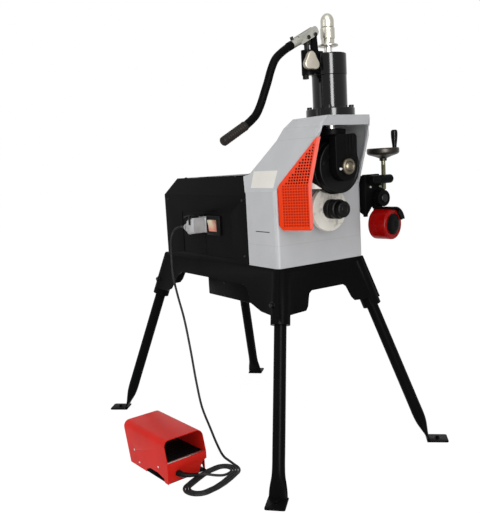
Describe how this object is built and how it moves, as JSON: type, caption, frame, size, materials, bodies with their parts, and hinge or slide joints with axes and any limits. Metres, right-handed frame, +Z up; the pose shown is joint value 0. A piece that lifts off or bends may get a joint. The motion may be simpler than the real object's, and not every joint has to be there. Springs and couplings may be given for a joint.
{
  "type": "pipe grooving machine",
  "caption": "Powered roll-groover for pipes on four splayed legs, with a hand-pumped ram above the rolls, a stabiliser roller, a mesh guard and a corded foot pedal.",
  "frame": {"origin": "middle of the footprint on the floor, the free cord left out", "axes": "+Z up, -Y towards the rolls and the operator, +X to the machine's right side seen from the front"},
  "size_m": [0.9208, 1.1286, 1.379],
  "materials": {
    "black_enamel": "semi-gloss black enamel",
    "grey_enamel": "semi-gloss light grey enamel on sheet steel",
    "black_casting": "painted casting, slightly rough",
    "red_enamel": "orange-red enamel on sheet steel",
    "bright_steel": "turned steel",
    "dark_steel": "blackened tool steel with worn edges",
    "polished_nickel": "polished",
    "off_white_enamel": "off-white enamel, marked by use",
    "cast_zinc": "die cast, fine grain",
    "black_rubber": "moulded rubber and cord sheath",
    "red_polyurethane": "turned dark red polyurethane",
    "black_plastic": "moulded black plastic",
    "cream_plastic": "translucent moulded plastic",
    "black_sheet": "black enamel on sheet steel"
  },
  "bodies": {
    "stand": {"base_frame": "black_enamel", "leg_front_left": "black_enamel", "leg_front_right": "black_enamel", "leg_rear_left": "black_enamel", "leg_rear_right": "black_enamel", "control_box": "black_enamel", "front_housing": "grey_enamel", "motor_cover": "black_enamel", "head_frame": "black_casting", "gearbox": "black_casting", "motor": "black_casting", "front_bearing": "bright_steel", "rear_bearing": "bright_steel", "throat_guard": "red_enamel", "ram_cylinder": "black_enamel", "ram_reservoir": "black_enamel", "return_spring": "dark_steel", "pump_block": "black_casting", "fulcrum_link": "black_casting", "stabiliser_bracket": "black_casting", "stabiliser_crossbar": "black_casting", "arm_pin": "dark_steel", "switch_bezel": "black_plastic", "connector_base": "cast_zinc", "connector_hood": "cast_zinc", "pedal_base": "black_sheet", "pedal_hood": "red_enamel", "pedal_switch": "black_plastic", "pedal_pin": "bright_steel", "strain_relief": "black_rubber", "cord_run": "black_rubber", "cord_loops": "black_rubber"},
    "tool_slide": {"slide_block": "black_casting", "roll_shaft": "bright_steel", "ram_rod": "bright_steel"},
    "grooving_roll": {"upper_roll": "dark_steel"},
    "depth_stop": {"depth_nut": "polished_nickel", "depth_cap": "polished_nickel"},
    "drive_spindle": {"spindle": "bright_steel", "bull_gear": "dark_steel", "backing_disc": "off_white_enamel", "drive_roll": "dark_steel"},
    "pinion": {"pinion_shaft": "dark_steel"},
    "pump_handle": {"lever_socket": "cast_zinc", "fulcrum_pin": "bright_steel", "plunger_pin": "bright_steel", "pump_lever": "black_enamel", "lever_grip": "black_rubber"},
    "plunger": {"pump_plunger": "bright_steel"},
    "release_valve": {"release_knob": "cast_zinc"},
    "stabiliser_wheel": {"stabiliser_screw": "dark_steel", "handwheel": "black_casting"},
    "crank_grip": {"crank_handle": "black_rubber"},
    "roller_arm": {"stabiliser_arm": "black_casting", "roller_axle": "dark_steel"},
    "roller": {"stabiliser_roller": "red_polyurethane"},
    "switch_rocker": {"rocker": "cream_plastic"},
    "tread": {"pedal_plate": "black_sheet"}
  },
  "joints": [
    {"name": "ram_travel", "type": "slide", "parent": "stand", "child": "tool_slide", "axis": [0, 0, -1], "range_m": [0, 0.013], "stiffness_N_per_m": 6000, "springref_m": -0.06, "deforming": ["return_spring"]},
    {"name": "upper_roll_spin", "type": "hinge", "parent": "tool_slide", "child": "grooving_roll", "pos_m": [0.07599, -0.434, 0.931], "axis": [0, 1, 0], "continuous": true},
    {"name": "depth_nut_turn", "type": "hinge", "parent": "tool_slide", "child": "depth_stop", "pos_m": [0.07599, -0.428, 1.284], "axis": [0, 0, 1], "range_deg": [-720, 720]},
    {"name": "spindle_spin", "type": "hinge", "parent": "stand", "child": "drive_spindle", "pos_m": [0.07599, -0.411, 0.804], "axis": [0, 1, 0], "continuous": true},
    {"name": "pinion_spin", "type": "hinge", "parent": "stand", "child": "pinion", "pos_m": [0.07599, -0.211, 0.732], "axis": [0, 1, 0], "continuous": true},
    {"name": "pump_lever_swing", "type": "hinge", "parent": "stand", "child": "pump_handle", "pos_m": [0.01999, -0.428, 1.314], "axis": [0, 1, 0], "range_deg": [0, 50]},
    {"name": "plunger_stroke", "type": "slide", "parent": "stand", "child": "plunger", "axis": [0, 0, 1], "range_m": [0, 0.0235]},
    {"name": "release_valve_turn", "type": "hinge", "parent": "stand", "child": "release_valve", "pos_m": [-0.01501, -0.428, 1.234], "axis": [0, 1, 0], "range_deg": [-180, 0]},
    {"name": "stabiliser_screw_turn", "type": "hinge", "parent": "stand", "child": "stabiliser_wheel", "pos_m": [0.32299, -0.4, 0.932], "axis": [0, 0, 1], "range_deg": [0, 720]},
    {"name": "crank_grip_spin", "type": "hinge", "parent": "stabiliser_wheel", "child": "crank_grip", "pos_m": [0.35449, -0.42125, 0.981], "axis": [0, 0, 1], "continuous": true},
    {"name": "roller_arm_swing", "type": "hinge", "parent": "stand", "child": "roller_arm", "pos_m": [0.30799, -0.4, 0.82], "axis": [0, 1, 0], "range_deg": [0, 15]},
    {"name": "roller_spin", "type": "hinge", "parent": "roller_arm", "child": "roller", "pos_m": [0.28399, -0.4, 0.738], "axis": [0.1685, -0.9857, 0], "continuous": true},
    {"name": "switch_rock", "type": "hinge", "parent": "stand", "child": "switch_rocker", "pos_m": [-0.10001, -0.016, 0.7525], "axis": [0, 1, 0], "range_deg": [0, 17.8]},
    {"name": "pedal_press", "type": "hinge", "parent": "stand", "child": "tread", "pos_m": [-0.38434, -0.0049, 0.05], "axis": [0.9981, 0.0619, 0], "range_deg": [0, 5], "stiffness_Nm_per_rad": 8, "springref_deg": -14.32}
  ],
  "couplings": [
    {"joint": "pinion_spin", "follows": "spindle_spin", "ratio": -2},
    {"joint": "plunger_stroke", "follows": "pump_lever_swing", "m_per_rad": 0.0265},
    {"joint": "roller_arm_swing", "follows": "stabiliser_screw_turn", "ratio": 0.020833}
  ]
}
